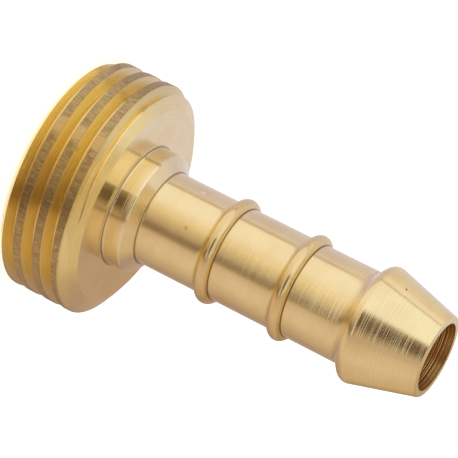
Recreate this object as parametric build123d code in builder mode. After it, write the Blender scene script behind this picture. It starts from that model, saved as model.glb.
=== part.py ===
from build123d import *

import os
from math import radians, tan

# Brass hose tail with a threaded disc head, turned from one bar.
#
# The head is a short disc with a parallel pipe thread on its rim. A plain hub joins it to a
# tube with two rounded beads and a conical barb, which the hose is pushed over, and one bore
# runs through. The part stands on the back face of its head: +Z runs along the bore from the
# head to the tip, and the origin is the centre of the back face. Sizes are in millimetres.

# ---- driving dimensions ----

overall_length = 34.65
bore_diameter = 5.8

# disc head, with two bevels round its front
head_height = 6.75
back_chamfer = 0.55
face_diameter = 16.9
face_bevel_diameter = 18.6
face_bevel_angle = 29  # how far each bevel falls below the plane of the face
rim_bevel_angle = 33

# parallel pipe thread G 1/2: 14 threads to the inch, 55 degrees between its flanks
thread_pitch = 25.4 / 14
pitch_diameter = 19.7
crest_diameter = 20.1  # the crests are turned flat, below the full 20.955
flank_angle = 55 / 2
root_flat = 0.12
groove_mouth_past_crest = 0.3  # how far the cut section reaches outside the crests
groove_height_at_x = 3.073  # where the middle of a groove crosses the +X side of the head

# hub between the disc and the tube
hub_diameter = 10.4
hub_end = 8.4
tube_start = 9.2

# tube, its two beads and the barb
tube_diameter = 8.0
bead_radius = 0.59
first_bead = 15.45
bead_spacing = 6.77
barb_diameter = 10.27  # over the corner, before it is rounded
barb_back = 27.75
barb_crest = 28.65
barb_taper = 15.5  # half angle of the nose cone

# radii that the tools leave, and edges broken by hand
hub_root_fillet = 0.25
hub_edge_break = 0.1
tube_root_fillet = 0.2
bead_fillet = 0.15  # on the head side of each bead
barb_edge_fillet = 0.83
tip_fillet = 0.13

# ---- sizes that follow from them ----

head_radius = crest_diameter / 2
hub_radius = hub_diameter / 2
tube_radius = tube_diameter / 2
barb_radius = barb_diameter / 2
face_radius = face_diameter / 2
face_bevel_radius = face_bevel_diameter / 2
face_bevel_drop = (face_bevel_radius - face_radius) * tan(radians(face_bevel_angle))
rim_bevel_drop = (head_radius - face_bevel_radius) * tan(radians(rim_bevel_angle))
bead_heights = [first_bead, first_bead + bead_spacing]
tip_radius = barb_radius - (overall_length - barb_crest) * tan(radians(barb_taper))

# The thread groove is a V with a narrow flat root. Its flanks would meet at the sharp root.
sharp_root = (pitch_diameter - thread_pitch / 2 / tan(radians(flank_angle))) / 2
root_radius = sharp_root + root_flat / 2 / tan(radians(flank_angle))
mouth_radius = head_radius + groove_mouth_past_crest
mouth_width = (mouth_radius - sharp_root) * tan(radians(flank_angle))

# The groove winds right-handed from below the back face to above the bevels.
groove_turns = 4
turns_below_x = 2
groove_start = groove_height_at_x - turns_below_x * thread_pitch


def corner_at(sketch, radius, height):
    """The sketch's corner at this radius and height."""
    spot = Vector(radius, height)
    return sketch.vertices().sort_by(lambda corner: (Vector(corner) - spot).length)[0]


with BuildPart() as hose_tail:
    # half of the turned outline, from the axis outwards
    with BuildSketch(Plane.XZ) as outline:
        with BuildLine():
            Polyline(
                (0, 0),
                (head_radius - back_chamfer, 0),
                (head_radius, back_chamfer),
                (head_radius, head_height - face_bevel_drop - rim_bevel_drop),
                (face_bevel_radius, head_height - face_bevel_drop),
                (face_radius, head_height),
                (hub_radius, head_height),
                (hub_radius, hub_end),
                (tube_radius, tube_start),
                (tube_radius, barb_back),
                (barb_radius, barb_crest),
                (tip_radius, overall_length),
                (0, overall_length),
                close=True,
            )
        make_face()
        with Locations(*[(tube_radius, height) for height in bead_heights]):
            Circle(bead_radius)
        fillet(corner_at(outline, hub_radius, head_height), hub_root_fillet)
        chamfer(corner_at(outline, hub_radius, hub_end), hub_edge_break)
        fillet(corner_at(outline, tube_radius, tube_start), tube_root_fillet)
        for height in bead_heights:
            fillet(corner_at(outline, tube_radius, height - bead_radius), bead_fillet)
        fillet(corner_at(outline, barb_radius, barb_crest), barb_edge_fillet)
        fillet(corner_at(outline, tip_radius, overall_length), tip_fillet)
    revolve(axis=Axis.Z)

    # the bore, drilled right through
    Hole(bore_diameter / 2)

    # the thread, cut one turn at a time by winding the groove's section round the rim
    for turn in range(groove_turns):
        turn_start = groove_start + turn * thread_pitch
        with BuildLine() as turn_path:
            Helix(thread_pitch, thread_pitch, head_radius, center=(0, 0, turn_start))
        with BuildSketch(Plane.XZ):
            with BuildLine():
                Polyline(
                    (root_radius, turn_start - root_flat / 2),
                    (root_radius, turn_start + root_flat / 2),
                    (mouth_radius, turn_start + mouth_width),
                    (mouth_radius, turn_start - mouth_width),
                    close=True,
                )
            make_face()
        sweep(path=turn_path.line, is_frenet=True, mode=Mode.SUBTRACT)

print("volume", round(hose_tail.part.volume), "mm3, valid", hose_tail.part.is_valid)

hose_tail.part.label = "hose_tail"
os.makedirs("parts", exist_ok=True)
export_step(hose_tail.part, "parts/hose_tail.step")
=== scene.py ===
# %% [markdown]
# # A brass hose tail
# This is a tail for a push-on hose: a threaded head, a short hub, and a tube with two beads and a
# barb that hold the hose. It was turned from one bar of brass, so it is one piece here too. The
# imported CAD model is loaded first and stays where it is. Its shape is already right, and the work
# in this lesson is the camera, the brass and the light that makes brass look like brass.

import math

import bpy
from mathutils import Matrix, Vector

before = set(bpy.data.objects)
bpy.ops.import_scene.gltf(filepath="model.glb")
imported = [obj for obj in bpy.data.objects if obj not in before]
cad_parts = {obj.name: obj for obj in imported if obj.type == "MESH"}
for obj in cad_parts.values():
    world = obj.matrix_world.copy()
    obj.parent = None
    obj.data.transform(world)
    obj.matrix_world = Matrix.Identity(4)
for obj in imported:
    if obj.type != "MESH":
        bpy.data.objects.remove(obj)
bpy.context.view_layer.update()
MM = 0.001  # Blender's unit is the metre
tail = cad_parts["hose_tail"]

# %% [markdown]
# ## The camera
# The tail stands on the back of its head, and the camera looks at it from a little over 200 mm away
# and nearly 20 degrees above. It is rolled on its side, so that the standing tail lies across the
# frame. A rotation typed in degrees would be hard to read, so the camera is built from two
# directions: where its right side points and where its top points. The third one follows from them.
# A long lens keeps the near and the far end of the tail almost the same size.

# %% The camera
SENSOR_WIDTH = 36.0  # mm
LENS = 210.89  # mm
NEAREST_SEEN = 1 * MM
CAMERA_PLACE = Vector((-1.656, -202.183, 85.625)) * MM
CAMERA_RIGHT = Vector((-0.44847, 0.29595, 0.84338))
CAMERA_TOP = Vector((-0.89380, -0.14850, -0.42317))


def add_camera():
    """The camera, turned by the directions of its right side and its top."""
    data = bpy.data.cameras.new("studio_camera")
    data.sensor_width = SENSOR_WIDTH
    data.lens = LENS
    data.clip_start = NEAREST_SEEN
    right = CAMERA_RIGHT.normalized()
    back = right.cross(CAMERA_TOP).normalized()
    top = back.cross(right)
    turn = Matrix((right, top, back)).transposed().to_4x4()
    thing = bpy.data.objects.new("studio_camera", data)
    thing.matrix_world = Matrix.Translation(CAMERA_PLACE) @ turn
    bpy.context.scene.collection.objects.link(thing)
    bpy.context.scene.camera = thing
    return thing


camera = add_camera()
print("camera at", [round(value / MM, 1) for value in camera.matrix_world.translation], "mm")

# %% [markdown]
# ## A helper for nodes
# A material is a tree of nodes. Each node works out a number, a colour or a direction and passes it
# on. They could be placed by hand in the shader editor. In a script, one small function adds a node
# with its settings and its links, so that a material reads as a list. Some nodes have inputs that
# share a name, and those go by number. On a Math node they are 0, 1 and 2. A Mix node has more of
# them, one set for each kind of data, so the ones used here get names.

# %% A helper for nodes
# a Mix node's inputs: the amount, and what lies under and over, for numbers and for colours
MIX_AMOUNT = 0
NUMBER_UNDER, NUMBER_OVER = 2, 3
COLOUR_UNDER, COLOUR_OVER = 6, 7
# its outputs
MIXED_NUMBER, MIXED_COLOUR = 0, 2


def new_tree(name):
    """An empty node material and its tree."""
    material = bpy.data.materials.new(name)
    material.use_nodes = True
    material.node_tree.nodes.clear()
    return material, material.node_tree


def add(tree, kind, settings=None, links=None):
    """A node with its settings, and links into it from sockets or from nodes' first outputs."""
    node = tree.nodes.new(kind)
    for name, value in (settings or {}).items():
        if isinstance(name, int) or name in node.inputs:
            node.inputs[name].default_value = value
        else:
            setattr(node, name, value)
    for name, source in (links or {}).items():
        socket = source.outputs[0] if isinstance(source, bpy.types.Node) else source
        tree.links.new(socket, node.inputs[name])
    return node


brass, tree = new_tree("turned brass")
print("the tail's material is", brass.name)

# %% [markdown]
# ## The map of the tail
# Free-cutting brass is a yellow metal with a soft shine. The whole tail is one metal, but each part
# of it was made in its own way: the crests of the thread still have the dull skin of the drawn bar,
# the grooves were cut by a pointed tool, the face and the barb have turned rings, and the bore was
# drilled. The finishes could be painted on by hand, but a turned part has a simpler map: its radius
# and its height. Each finish is then a small rectangle on that map.

# %% The map of the tail
EDGE = 0.03  # mm to each side, over which one finish turns into the next
ZONES = {
    # name: its radii and its heights in mm
    "grooves": ((8.7, 9.99), (0.3, 5.9)),
    "crests": ((10.0, 11.0), (0.5, 5.8)),
    "face": ((5.3, 8.45), (6.7, 7.0)),
    "bevels": ((8.45, 9.95), (5.9, 6.8)),
    "hub": ((4.05, 5.3), (6.7, 9.15)),
    "first bead": ((4.03, 4.7), (14.8, 16.1)),
    "second bead": ((4.03, 4.7), (21.5, 22.9)),
    "barb": ((3.4, 6.0), (28.45, 34.6)),
    "back of the barb": ((4.05, 6.0), (27.7, 28.45)),
    "bore": ((0.0, 2.93), (0.05, 35.0)),
}
place = add(tree, "ShaderNodeTexCoord").outputs["Object"]
sides = add(tree, "ShaderNodeSeparateXYZ", links={"Vector": place}).outputs
height = sides["Z"]
flat = add(tree, "ShaderNodeCombineXYZ", links={"X": sides["X"], "Y": sides["Y"]})
radius = add(tree, "ShaderNodeVectorMath", {"operation": "LENGTH"}, {0: flat}).outputs["Value"]


def between(value, low, high):
    """1 where a value is between low and high and 0 elsewhere, all in mm, with soft edges."""
    rise = add(tree, "ShaderNodeMapRange",
               {"From Min": (low - EDGE) * MM, "From Max": (low + EDGE) * MM}, {"Value": value})
    fall = add(tree, "ShaderNodeMapRange",
               {"From Min": (high + EDGE) * MM, "From Max": (high - EDGE) * MM}, {"Value": value})
    return add(tree, "ShaderNodeMath", {"operation": "MULTIPLY"}, {0: rise, 1: fall})


zones = {}
for name, (radii, heights) in ZONES.items():
    zones[name] = add(tree, "ShaderNodeMath", {"operation": "MULTIPLY"},
                      {0: between(radius, *radii), 1: between(height, *heights)})
print("finishes:", ", ".join(zones), "and the plain turned tube")

# %% [markdown]
# ## Colours
# A colour picker shows sRGB values, but Blender mixes linear ones. Linear numbers could be typed
# straight in, but nobody can read a colour from them. So every colour is written as sRGB hex, and
# one function turns it into linear values.

# %% Colours


def linear(hex_colour):
    """An sRGB hex colour as linear values: the standard curve, straight near black."""
    channels = [int(hex_colour[i:i + 2], 16) / 255 for i in (1, 3, 5)]
    values = [c / 12.92 if c <= 0.04045 else ((c + 0.055) / 1.055) ** 2.4 for c in channels]
    return (*values, 1.0)


print("middle grey is", [round(value, 3) for value in linear("#808080")])

# %% [markdown]
# ## Colour, shine and depth of marks
# Each finish has a colour, a roughness and a depth of the rings that its tool left. A metal's colour
# is the tint that it gives to what it reflects, so it is pale, and brass looks deeper in a groove
# only because light bounces there more than once. Clean turned brass has a roughness of 0.1 to 0.2,
# and the skin of a bar is about twice as rough. Each finish could be a material of its own, but
# then they would meet in hard lines. The loop starts from the plain tube and lays one finish after
# another over it, which keeps all the numbers in one small table.

# %% The finishes
TUBE_COLOUR = "#F8E8B5"
TUBE_ROUGHNESS = 0.19
TUBE_RINGS = 0.006  # depth of the turned rings in mm
FINISHES = {
    # zone: colour, roughness, depth of its rings in mm
    "grooves": ("#F2DF9E", 0.20, 0.012),  # cut by a sharp tool: bright and clean
    "crests": ("#C8B07D", 0.38, 0.000),  # bar skin: brown and dull, and never turned
    "face": ("#F7E8B6", 0.13, 0.008),  # faced last: pale, with fine rings and a soft sheen
    "bevels": ("#FFF0B4", 0.22, 0.010),  # two quick cuts: bright, but not so smooth
    "hub": ("#FAEDC2", 0.11, 0.006),  # the finest cut: the sharpest reflections
    "first bead": ("#EED8A2", 0.20, 0.004),  # rubbed by hoses: a little darker
    "second bead": ("#EED8A2", 0.20, 0.004),
    "barb": ("#F9E8B6", 0.16, 0.013),  # quick last cut: rings that can be felt
    "back of the barb": ("#FFF2D2", 0.20, 0.008),  # never rubbed: the palest
    "bore": ("#F4D08C", 0.32, 0.045),  # drilled: coarse rings, and darker inside
}

colour = add(tree, "ShaderNodeRGB").outputs[0]
colour.default_value = linear(TUBE_COLOUR)
rough = add(tree, "ShaderNodeValue").outputs[0]
rough.default_value = TUBE_ROUGHNESS
ring_depth = add(tree, "ShaderNodeValue").outputs[0]
ring_depth.default_value = TUBE_RINGS
for name, (zone_colour, zone_roughness, zone_rings) in FINISHES.items():
    mixed = add(tree, "ShaderNodeMix", {"data_type": "RGBA", COLOUR_OVER: linear(zone_colour)},
                {MIX_AMOUNT: zones[name], COLOUR_UNDER: colour})
    colour = mixed.outputs[MIXED_COLOUR]
    mixed = add(tree, "ShaderNodeMix", {NUMBER_OVER: zone_roughness},
                {MIX_AMOUNT: zones[name], NUMBER_UNDER: rough})
    rough = mixed.outputs[MIXED_NUMBER]
    mixed = add(tree, "ShaderNodeMix", {NUMBER_OVER: zone_rings},
                {MIX_AMOUNT: zones[name], NUMBER_UNDER: ring_depth})
    ring_depth = mixed.outputs[MIXED_NUMBER]
print("roughness up to", max(roughness for _, roughness, _ in FINISHES.values()))

# %% [markdown]
# ## Turned rings
# A lathe tool leaves a fine screw of rings, one at each turn of the bar. Along the outline, height
# minus radius grows nearly everywhere: up the rim, in over the face, along the tube and up the
# barb. So a noise in that one number gives rings all over, as deep as each finish says. Cut into
# the mesh, they would take millions of faces, so they are a bump. A real feed is about 0.05 mm. The
# rings here are about 0.2 mm apart, two and a half pixels, because finer ones wouldn't show, and
# the drill's in the bore are a little wider. A second, slow noise makes the surface slightly
# uneven, so that no reflection looks ruled.

# %% Turned rings
RING_STEP = 0.10 * MM  # the noise's step, and two steps make a ring
BORE_STEP = 0.125 * MM
WAVE_LENGTH = 2.2 * MM
WAVE_DEPTH = 0.005  # mm
run = add(tree, "ShaderNodeMath", {"operation": "SUBTRACT"}, {0: height, 1: radius})
steps_per_metre = add(tree, "ShaderNodeMath", {
    "operation": "MULTIPLY_ADD", 1: 1 / BORE_STEP - 1 / RING_STEP, 2: 1 / RING_STEP,
}, {0: zones["bore"]})
ring_place = add(tree, "ShaderNodeMath", {"operation": "MULTIPLY"}, {0: run, 1: steps_per_metre})
rings = add(tree, "ShaderNodeTexNoise", {"noise_dimensions": "1D", "Scale": 1.0, "Detail": 1.0},
            {"W": ring_place})
ring_height = add(tree, "ShaderNodeMath", {"operation": "MULTIPLY"}, {0: rings, 1: ring_depth})
waves = add(tree, "ShaderNodeTexNoise", {"Scale": 1 / WAVE_LENGTH, "Detail": 1.0},
            {"Vector": place})
marks = add(tree, "ShaderNodeMath", {"operation": "MULTIPLY_ADD", 1: WAVE_DEPTH},
            {0: waves, 2: ring_height})
deepest = max(depth for _, _, depth in FINISHES.values())
print("rings about", 2 * RING_STEP / MM, "mm apart and up to", deepest, "mm deep")

# %% [markdown]
# ## The skin of the bar
# The crests of the thread were never cut. They keep the brown skin of the bar, with die lines along
# it. A painted highlight, a brighter golden patch, lies on the crests at 252 degrees, and copies of
# it lie on each third of the rim. Noise that is stretched along the axis gives the lines. They are
# drawn about 0.1 mm wide, the finest that shows. For the highlights, a gradient that grows by 1 in a
# turn is repeated three times, shifted so that one falls in the middle of each third, and a short
# stretch there is taken.

# %% Die lines and painted highlights
LINE_WIDTH = 0.11 * MM  # round the rim
LINE_LENGTH = 0.7 * MM  # along the axis
LINE_DEPTH = 0.006  # mm
# painted highlight on the crests: how many copies, where, how wide and how strong
HIGHLIGHT_COPIES = 3
THIRD = 360 / HIGHLIGHT_COPIES  # degrees
MIDDLE = 0.5  # of a third
TOWARDS_X = 0.5  # what the gradient is in the direction of +X
HIGHLIGHT_AT = 252  # degrees from +X
HIGHLIGHT_REACH = 5  # degrees to each side
HIGHLIGHT_MOST = 0.7
stretch = add(tree, "ShaderNodeMapping",
              {"Scale": (1 / LINE_WIDTH, 1 / LINE_WIDTH, 1 / LINE_LENGTH)}, {"Vector": place})
die_lines = add(tree, "ShaderNodeTexNoise", {"Scale": 1.0, "Detail": 2.0}, {"Vector": stretch})
line_depth = add(tree, "ShaderNodeMath", {"operation": "MULTIPLY", 1: LINE_DEPTH},
                 {0: zones["crests"]})
marks = add(tree, "ShaderNodeMath", {"operation": "MULTIPLY_ADD"},
            {0: die_lines, 1: line_depth, 2: marks})

angle = add(tree, "ShaderNodeTexGradient", {"gradient_type": "RADIAL"}, {"Vector": place})
shift = MIDDLE - HIGHLIGHT_COPIES * (HIGHLIGHT_AT / 360 + TOWARDS_X)
thirds = add(tree, "ShaderNodeMath", {"operation": "MULTIPLY_ADD", 1: HIGHLIGHT_COPIES, 2: shift}, {0: angle})
third = add(tree, "ShaderNodeMath", {"operation": "FRACT"}, {0: thirds})
from_middle = add(tree, "ShaderNodeMath", {"operation": "SUBTRACT", 1: MIDDLE}, {0: third})
from_middle = add(tree, "ShaderNodeMath", {"operation": "ABSOLUTE"}, {0: from_middle})
# the painted highlight, strongest in the middle of each third
crest_highlight = add(tree, "ShaderNodeMapRange", {
    "From Min": HIGHLIGHT_REACH / THIRD, "From Max": HIGHLIGHT_REACH / 2 / THIRD, "To Max": HIGHLIGHT_MOST,
}, {"Value": from_middle})
crest_highlight = add(tree, "ShaderNodeMath", {"operation": "MULTIPLY"}, {0: crest_highlight, 1: zones["crests"]})
# prints the spacing of the painted highlights
print("painted crest highlights every", THIRD, "degrees")

# %% [markdown]
# ## Tarnish and a painted highlight
# Bare brass never keeps one colour. Handling leaves faint brown clouds, the die lines hold dirt,
# and stain follows the turned rings, most of all in the rough bore. On the crests lies a painted
# highlight.
# They could be painted by hand, but noise gives clouds and dirt that never repeat. Each is a tint:
# an amount from 0 to 1, worked out here, and a colour. The tints are gathered in a list, together
# with the painted shade in the corners, the damage and the painted reflections of the next steps,
# and laid over the brass in one go.

# %% Tarnish and a painted highlight
CLOUD_SIZE = 3.0 * MM
CLOUD_RANGE = (0.45, 0.75)  # the part of the noise over which a cloud comes in
CLOUD_MOST = 0.25
LINE_RANGE = (0.32, 0.68)
STAIN_RANGE = (0.38, 0.62)
STAIN_PER_MM = 10.0  # amount of stain for each mm of ring depth
CLOUD_COLOUR = "#D9B47C"
LINE_COLOUR = "#9C855A"
# painted highlight on the crests
CREST_HIGHLIGHT_COLOUR = "#DCC084"
STAIN_COLOUR = "#B8843C"

noise = add(tree, "ShaderNodeTexNoise", {"Scale": 1 / CLOUD_SIZE, "Detail": 4.0},
            {"Vector": place})
clouds = add(tree, "ShaderNodeMapRange", {
    "From Min": CLOUD_RANGE[0], "From Max": CLOUD_RANGE[1], "To Max": CLOUD_MOST,
}, {"Value": noise})
dirt = add(tree, "ShaderNodeMapRange", {"From Min": LINE_RANGE[0], "From Max": LINE_RANGE[1]},
           {"Value": die_lines})
dirt = add(tree, "ShaderNodeMath", {"operation": "MULTIPLY"}, {0: dirt, 1: zones["crests"]})
stain = add(tree, "ShaderNodeMapRange", {
    "From Min": STAIN_RANGE[0], "From Max": STAIN_RANGE[1], "To Max": STAIN_PER_MM,
}, {"Value": rings})
stain = add(tree, "ShaderNodeMath", {"operation": "MULTIPLY"}, {0: stain, 1: ring_depth})
tints = [(clouds, CLOUD_COLOUR), (dirt, LINE_COLOUR), (crest_highlight, CREST_HIGHLIGHT_COLOUR), (stain, STAIN_COLOUR)]
print("clouds about", CLOUD_SIZE / MM, "mm across")

# %% [markdown]
# ## Painted shade in the corners
# Shade falls into the corners at the foot of the hub and of the tube, and beside each bead, and it
# is painted there as a thin dark line. It could be drawn along each corner in turn. On a turned
# part, a corner is one point on the map of radius and height, so the distance from that point draws
# a thin line right round the tail.

# %% Grime in the corners
CORNERS = {
    # name: radius and height in mm
    "foot of the hub": (5.27, 6.82),
    "foot of the tube": (4.06, 9.17),
    "beside the first bead": (4.00, 16.05),
    "beside the second bead": (4.00, 22.82),
}
CORNER_SHADE_REACH = 0.13  # mm
CORNER_SHADE_MOST = 0.9
# painted shade: the colour of the dark line in each corner
CORNER_SHADE_COLOUR = "#8A6630"
on_map = add(tree, "ShaderNodeCombineXYZ", links={"X": radius, "Y": height})
for corner_radius, corner_height in CORNERS.values():
    corner = (corner_radius * MM, corner_height * MM, 0)
    away = add(tree, "ShaderNodeVectorMath", {"operation": "DISTANCE", 1: corner}, {0: on_map})
    # painted shade, strongest right in the corner
    corner_shade = add(tree, "ShaderNodeMapRange",
                {"From Min": CORNER_SHADE_REACH * MM, "From Max": 0, "To Max": CORNER_SHADE_MOST},
                {"Value": away.outputs["Value"]})
    tints.append((corner_shade, CORNER_SHADE_COLOUR))
# prints the corners that get painted shade
print("grime:", ", ".join(CORNERS))

# %% [markdown]
# ## Small damage and painted reflections
# A part from a box of parts has a pit here and a knock there. They are too small to be worth any
# faces. Each is a small ball in space instead, and where the surface passes through the ball, it
# takes the mark's colour. Two of the balls, on the tube before the first bead, are no damage: they
# are painted reflections, a pale one and a golden one.

# %% Small damage and painted reflections
DAMAGE_AND_REFLECTIONS = {
    # name: place in mm, size in mm, colour
    "pit in the nose": ((-3.62, -2.73, 30.78), 0.11, "#5C4420"),
    # painted reflection: a pale spot on the tube
    "pale painted reflection": ((-3.30, -2.26, 12.19), 0.26, "#FFF6D8"),
    # painted reflection: a golden spot on the tube
    "golden painted reflection": ((-0.21, -3.99, 12.84), 0.22, "#E2C48C"),
    "die mark near the back": ((-1.84, -9.88, 1.58), 0.34, "#A68C60"),
    "die mark in the middle": ((-1.99, -9.85, 3.20), 0.36, "#A68C60"),
    "die mark at the front": ((-2.16, -9.81, 4.88), 0.34, "#A68C60"),
    "nick in the rim": ((-0.57, -9.47, 6.16), 0.18, "#3E2C14"),
    "scratch near the back": ((5.81, -8.20, 1.97), 0.09, "#E0C890"),
    "scratch in the middle": ((6.04, -8.03, 3.65), 0.10, "#E0C890"),
    "scratch at the front": ((5.76, -8.23, 5.40), 0.09, "#E0C890"),
}
for spot, size, mark_colour in DAMAGE_AND_REFLECTIONS.values():
    away = add(tree, "ShaderNodeVectorMath", {"operation": "DISTANCE", 1: Vector(spot) * MM},
               {0: place})
    inside = add(tree, "ShaderNodeMapRange", {"From Min": size * MM, "From Max": size / 2 * MM},
                 {"Value": away.outputs["Value"]})
    tints.append((inside, mark_colour))
print(len(DAMAGE_AND_REFLECTIONS), "marks")

# %% [markdown]
# ## Lay the tints over the brass
# Each tint is mixed over everything before it, as thin washes of paint are: the clouds first and
# the damage and the painted reflections last.

# %% Lay the tints over the brass
for amount, tint_colour in tints:
    mixed = add(tree, "ShaderNodeMix", {"data_type": "RGBA", COLOUR_OVER: linear(tint_colour)},
                {MIX_AMOUNT: amount, COLOUR_UNDER: colour})
    colour = mixed.outputs[MIXED_COLOUR]
print(len(tints), "tints")

# %% [markdown]
# ## Soft feet
# A lathe tool has a round nose, so the tube runs up into each bead and into the barb in a small
# hollow. It hardly shows in the outline, but the light bends there and doesn't break. The mesh
# stays as the CAD model has it, and the Bevel node gives the bend: it blends the directions of two
# surfaces that meet, as if a tool had rounded the corner. It is switched on only at these feet,
# since the other edges are crisp.

# %% Soft feet
FEET = {
    # name: lowest and highest place of the hollow, and its radius, in mm
    "first bead": (14.00, 15.20, 0.60),
    "second bead": (20.80, 22.00, 0.60),
    "barb": (26.50, 28.55, 1.05),
}
hollow = add(tree, "ShaderNodeValue").outputs[0]
hollow.default_value = 0.0
for low, high, size in FEET.values():
    hollow = add(tree, "ShaderNodeMath", {"operation": "MULTIPLY_ADD", 1: size * MM},
                 {0: between(height, low, high), 2: hollow})
rounded = add(tree, "ShaderNodeBevel", {"samples": 8}, {"Radius": hollow})
print("soft feet:", ", ".join(FEET))

# %% [markdown]
# ## The shader
# Metallic 1 makes the base colour the colour of the reflection, and the IOR stays at its default.
# Turned rings spread light across them and not along them. That is anisotropy: the tangent runs
# round the axis, and a quarter turn of the rotation puts the wider spread across the rings. The
# heights of all the marks are in millimetres, and the bump's distance turns them into metres.

# %% The shader
RING_SPREAD = 0.45
ACROSS_THE_RINGS = 0.25
tangent = add(tree, "ShaderNodeTangent", {"direction_type": "RADIAL", "axis": "Z"})
bump = add(tree, "ShaderNodeBump", {"Strength": 1.0, "Distance": 1 * MM},
           {"Height": marks, "Normal": rounded})
shader = add(tree, "ShaderNodeBsdfPrincipled", {
    "Metallic": 1.0,
    "Anisotropic": RING_SPREAD,
    "Anisotropic Rotation": ACROSS_THE_RINGS,
}, {"Base Color": colour, "Roughness": rough, "Tangent": tangent, "Normal": bump})
add(tree, "ShaderNodeOutputMaterial", links={"Surface": shader})
for slot in tail.material_slots:
    slot.material = brass
print("the brass has", len(tree.nodes), "nodes")

# %% [markdown]
# ## The floor
# The tail stands on a wide sheet of matt white card, which spreads light evenly and shows only the
# tail's shadow. A little light is added where the camera sees the card or the metal reflects it,
# and nowhere else, so that it shows as white without lighting the tail any more.

# %% The floor
FLOOR_SIZE = 3.0  # metres
FLOOR_COLOUR = "#F4F4F2"
FLOOR_ROUGHNESS = 0.9
FLOOR_LIFT = 0.5


def add_mesh(name, points, faces, material):
    """A mesh of the studio, which isn't part of the tail."""
    mesh = bpy.data.meshes.new(name)
    mesh.from_pydata(points, [], faces)
    mesh.materials.append(material)
    thing = bpy.data.objects.new(name, mesh)
    bpy.context.scene.collection.objects.link(thing)
    return thing


def pale_card():
    """Matt white card that shows as white."""
    material, nodes = new_tree("matt white card")
    seen = add(nodes, "ShaderNodeLightPath").outputs
    shows = add(nodes, "ShaderNodeMath", {"operation": "MAXIMUM"},
                {0: seen["Is Camera Ray"], 1: seen["Is Glossy Ray"]})
    shows = add(nodes, "ShaderNodeMath", {"operation": "MAXIMUM"},
                {0: shows, 1: seen["Is Transmission Ray"]})
    lift = add(nodes, "ShaderNodeMath", {"operation": "MULTIPLY", 1: FLOOR_LIFT}, {0: shows})
    card = add(nodes, "ShaderNodeBsdfPrincipled", {
        "Base Color": linear(FLOOR_COLOUR),
        "Roughness": FLOOR_ROUGHNESS,
        "Emission Color": linear("#FFFFFF"),
    }, {"Emission Strength": lift})
    add(nodes, "ShaderNodeOutputMaterial", links={"Surface": card})
    return material


half = FLOOR_SIZE / 2
corners = [(-half, -half, 0), (half, -half, 0), (half, half, 0), (-half, half, 0)]
add_mesh("studio_floor", corners, [(0, 1, 2, 3)], pale_card())
print("floor", FLOOR_SIZE, "m across")

# %% [markdown]
# ## The light tent
# Metal has hardly any colour of its own: it shows what stands round it. So the tail stands in a
# light tent, a ring of lit cloth that is bright on one side, dimmer on the other, and open towards
# the camera, where it goes on as a strip on the floor. A row of lamps would give hard spots, and
# cloth gives long soft bands. The cloth's tone changes with the direction from the axis, so a
# colour ramp round the circle is nearly the whole tent. There are two such rings, one above the
# other, because the tube looks at the low cloth and the barb at the high one.

# %% The tones of the cloth
SEAM = 92  # degrees from +X, where the cloth's two ends meet
LOW_CLOTH = {
    # degrees from +X: tone of the cloth near the floor
    92: "#D2C2C0", 100: "#E6DEEA", 125: "#DED6E4", 148: "#D5CEE4", 167: "#D9CBD6", 184: "#E2D8DC",
    187: "#B5A49A", 189.5: "#B5A49A", 192: "#FDF5F3",  # a dark seam beside the brightest cloth
    228: "#FDF5F3", 241: "#F9EBE1", 254: "#EEDCC0", 266: "#DCC5A7", 278: "#C3AD94",
    286: "#A8927E", 291: "#8C7664", 298: "#8C7664",  # the dark room in front
    307: "#D3BDAB", 324: "#E0CBBE", 342: "#DFCABC", 362: "#D0BBAA", 381: "#BFA897", 400: "#AB9594",
    420: "#BDA597", 443: "#BDA597", 452: "#D2C2C0",
}
HIGH_CLOTH = {
    # the same near the top
    92: "#D2C6C2", 100: "#DFDAE4", 130: "#DEDAE6", 150: "#E2D8D8", 172: "#E8DCD4", 184: "#FBF0EC",
    191.5: "#FBF0EC", 192.5: "#B0A096", 194: "#B0A096", 195.5: "#FFFFFF",
    250: "#FFFFFF", 298: "#C9B5A6", 306: "#C9B5A6", 316: "#D8C5B5", 340: "#E0CDBE", 370: "#D6C3B0",
    395: "#CDB695", 404: "#C4AD8F", 416: "#A8937E", 443: "#C0AC98", 452: "#D2C6C2",
}


def tones_round_the_axis(nodes, tones):
    """A colour ramp by the direction from the axis, which starts at the seam."""
    point = add(nodes, "ShaderNodeTexCoord").outputs["Object"]
    seam_turned = (0, 0, math.radians(180 - SEAM))
    turned = add(nodes, "ShaderNodeMapping", {"Rotation": seam_turned}, {"Vector": point})
    around = add(nodes, "ShaderNodeTexGradient", {"gradient_type": "RADIAL"}, {"Vector": turned})
    ramp = add(nodes, "ShaderNodeValToRGB", links={"Fac": around})
    stops = ramp.color_ramp.elements
    while len(stops) < len(tones):
        stops.new(1.0)
    for stop, (azimuth, tone) in zip(stops, tones.items()):
        stop.position = (azimuth - SEAM) / 360
        stop.color = linear(tone)
    return ramp


print("the cloth has", len(LOW_CLOTH), "tones low and", len(HIGH_CLOTH), "high")

# %% [markdown]
# ## The materials of the tent
# Everything in the tent is lit from outside. Lamps behind the cloth would do it too, with more
# noise and waiting. So the materials only glow, at a strength of 1, and their tones do the rest.
# Thin white cloth glows evenly and gives soft reflections. The roof is the same cloth with no lamp
# behind it. The barb's nose leans up, so it reflects what is above the strip, the camera itself. A
# dark card stands for that and gives the nose its dark band.

# %% The materials of the tent
TENT_LIGHT = 1.0
CLOTH_CHANGES = (19, 27)  # mm above the floor, from the low tones to the high ones
ROOF_TONE = "#CEB899"
CARD_TONES = {
    # degrees from +X: tone of the card, which is darkest behind the lens
    255: "#A8927F", 262: "#8E7967", 269: "#685444", 282: "#685444", 290: "#9A8676", 304: "#C9B5A6",
}


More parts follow.
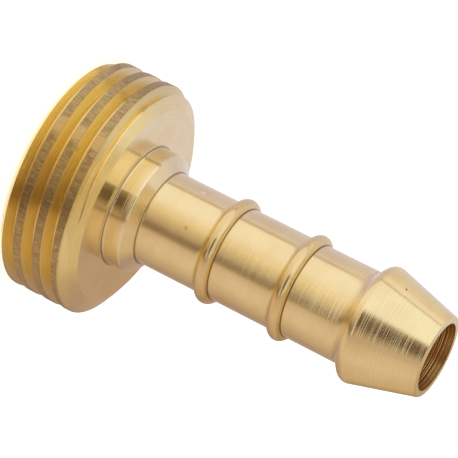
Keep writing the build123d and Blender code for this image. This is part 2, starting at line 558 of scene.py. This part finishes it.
def lit_cloth():
    """Translucent white cloth, lit from outside."""
    material, nodes = new_tree("lit tent cloth")
    point = add(nodes, "ShaderNodeTexCoord").outputs["Object"]
    level = add(nodes, "ShaderNodeSeparateXYZ", links={"Vector": point}).outputs["Z"]
    low, high = (level_mm * MM for level_mm in CLOTH_CHANGES)
    rise = add(nodes, "ShaderNodeMapRange", {"From Min": low, "From Max": high}, {"Value": level})
    tone = add(nodes, "ShaderNodeMix", {"data_type": "RGBA"}, {
        MIX_AMOUNT: rise,
        COLOUR_UNDER: tones_round_the_axis(nodes, LOW_CLOTH),
        COLOUR_OVER: tones_round_the_axis(nodes, HIGH_CLOTH),
    })
    light = add(nodes, "ShaderNodeEmission", {"Strength": TENT_LIGHT},
                {"Color": tone.outputs[MIXED_COLOUR]})
    add(nodes, "ShaderNodeOutputMaterial", links={"Surface": light})
    return material


def roof_cloth():
    """The same cloth, unlit: only what comes through from the sides."""
    material, nodes = new_tree("unlit tent cloth")
    light = add(nodes, "ShaderNodeEmission",
                {"Color": linear(ROOF_TONE), "Strength": TENT_LIGHT})
    add(nodes, "ShaderNodeOutputMaterial", links={"Surface": light})
    return material


def dark_card():
    """Card as dark as the camera's front, fading to both sides."""
    material, nodes = new_tree("dark card")
    light = add(nodes, "ShaderNodeEmission", {"Strength": TENT_LIGHT},
                {"Color": tones_round_the_axis(nodes, CARD_TONES)})
    add(nodes, "ShaderNodeOutputMaterial", links={"Surface": light})
    return material


cloth = lit_cloth()
print("the cloth changes between", *CLOTH_CHANGES, "mm")

# %% [markdown]
# ## The wall, the roof, the mat, the strip and the card
# All of these are bands of quads round the axis. Folds could be modelled, but turned metal would
# blur them away. The bands show only in the metal: they are hidden from the camera, cast no shadow
# and put no light on the floor. The mat is a ring of the same cloth round the foot of the tail. The
# mat and the strip lie just clear of the floor, so that no two faces are in the same place.

# %% The wall, the roof, the mat, the strip and the card
DEGREES_A_QUAD = 2
WALL_RADIUS = 22  # mm, as all the sizes here
WALL_HEIGHT = 60
ROOF_HOLE = 0.01  # too small to see, so that the quads stay quads
OPENING = (252, 298)  # degrees from +X
MAT_RADII = (10.3, 22)
MAT_HEIGHT = 0.03
STRIP_RADII = (14, 130)
STRIP_HEIGHT = 0.05
STRIP_SPREAD = (248, 306)  # degrees from +X
CARD_RADIUS = 180
CARD_HEIGHTS = (20, 130)
CARD_SPREAD = (255, 304)  # degrees from +X
WHOLE_TURN = (0, 360)


def bent_band(name, azimuths, radii, heights, material):
    """A band round the axis between two edges, from their radii and heights in mm."""
    start, end = azimuths
    steps = math.ceil((end - start) / DEGREES_A_QUAD)
    points = []
    for i in range(steps + 1):
        turn = math.radians(start + (end - start) * i / steps)
        for distance, level in zip(radii, heights):
            across = distance * MM
            points.append((across * math.cos(turn), across * math.sin(turn), level * MM))
    faces = [(2 * i, 2 * i + 1, 2 * i + 3, 2 * i + 2) for i in range(steps)]
    band = add_mesh(name, points, faces, material)
    band.visible_camera = False
    band.visible_diffuse = False
    band.visible_shadow = False
    band.visible_transmission = False
    return band


wall_spread = (OPENING[1], OPENING[0] + 360)
bent_band("tent_wall", wall_spread, (WALL_RADIUS, WALL_RADIUS), (0, WALL_HEIGHT), cloth)
bent_band("tent_roof", WHOLE_TURN, (ROOF_HOLE, WALL_RADIUS), (WALL_HEIGHT, WALL_HEIGHT),
          roof_cloth())
bent_band("tent_mat", WHOLE_TURN, MAT_RADII, (MAT_HEIGHT, MAT_HEIGHT), cloth)
bent_band("tent_strip", STRIP_SPREAD, STRIP_RADII, (STRIP_HEIGHT, STRIP_HEIGHT), cloth)
bent_band("dark_card", CARD_SPREAD, (CARD_RADIUS, CARD_RADIUS), CARD_HEIGHTS, dark_card())
print("the tent is open over", OPENING[1] - OPENING[0], "degrees")

# %% [markdown]
# ## The sky of the studio
# An even white world lights the card and everything that looks up. Soft lamps would do the same
# and would also show as spots in the metal. The Standard view shows colours as they are written.

# %% World and view
WORLD_LIGHT = 0.8
world = bpy.data.worlds.new("studio")
world.use_nodes = True
background = world.node_tree.nodes["Background"]
background.inputs["Color"].default_value = linear("#FFFFFF")
background.inputs["Strength"].default_value = WORLD_LIGHT
bpy.context.scene.world = world
bpy.context.scene.view_settings.view_transform = "Standard"
print("world light", WORLD_LIGHT)
